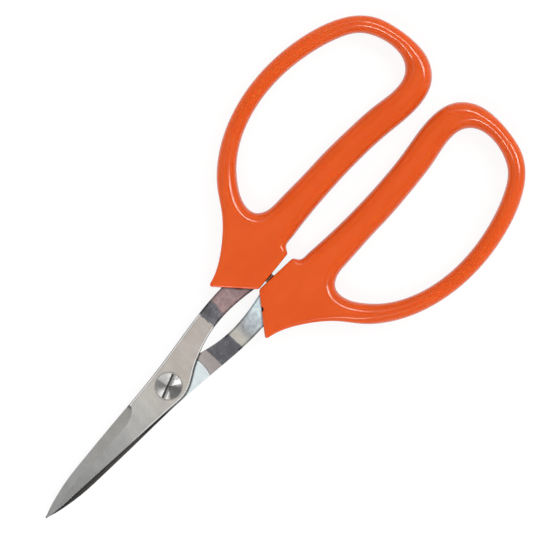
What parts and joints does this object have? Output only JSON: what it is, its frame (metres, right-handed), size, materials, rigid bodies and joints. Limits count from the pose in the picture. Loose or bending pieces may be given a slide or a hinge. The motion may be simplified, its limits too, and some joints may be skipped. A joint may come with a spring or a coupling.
{
  "type": "floral snips",
  "caption": "Slender straight-bladed hand snips with a slotted pivot screw and a long closed finger loop on each side.",
  "frame": {"origin": "on the pivot axis, in the plane where the two blades slide on each other", "axes": "+X along the closed blades to their tips, +Y to the rear handle, +Z to the pivot screw's head"},
  "size_m": [0.191, 0.0934, 0.0088],
  "materials": {
    "blade_steel": "fine satin ground stainless",
    "handle_plastic": "semi-gloss orange moulding",
    "screw_steel": "bright turned",
    "washer_steel": "plain"
  },
  "bodies": {
    "rear_half": {"rear_blade": "blade_steel", "rear_handle": "handle_plastic", "pivot_screw": "screw_steel", "spring_washer": "washer_steel", "lock_nut": "screw_steel"},
    "front_half": {"front_blade": "blade_steel", "front_handle": "handle_plastic"}
  },
  "joints": [
    {"name": "blade_pivot", "type": "hinge", "parent": "rear_half", "child": "front_half", "pos_m": [0, 0, 0], "axis": [0, 0, 1], "range_deg": [0, 60]}
  ]
}
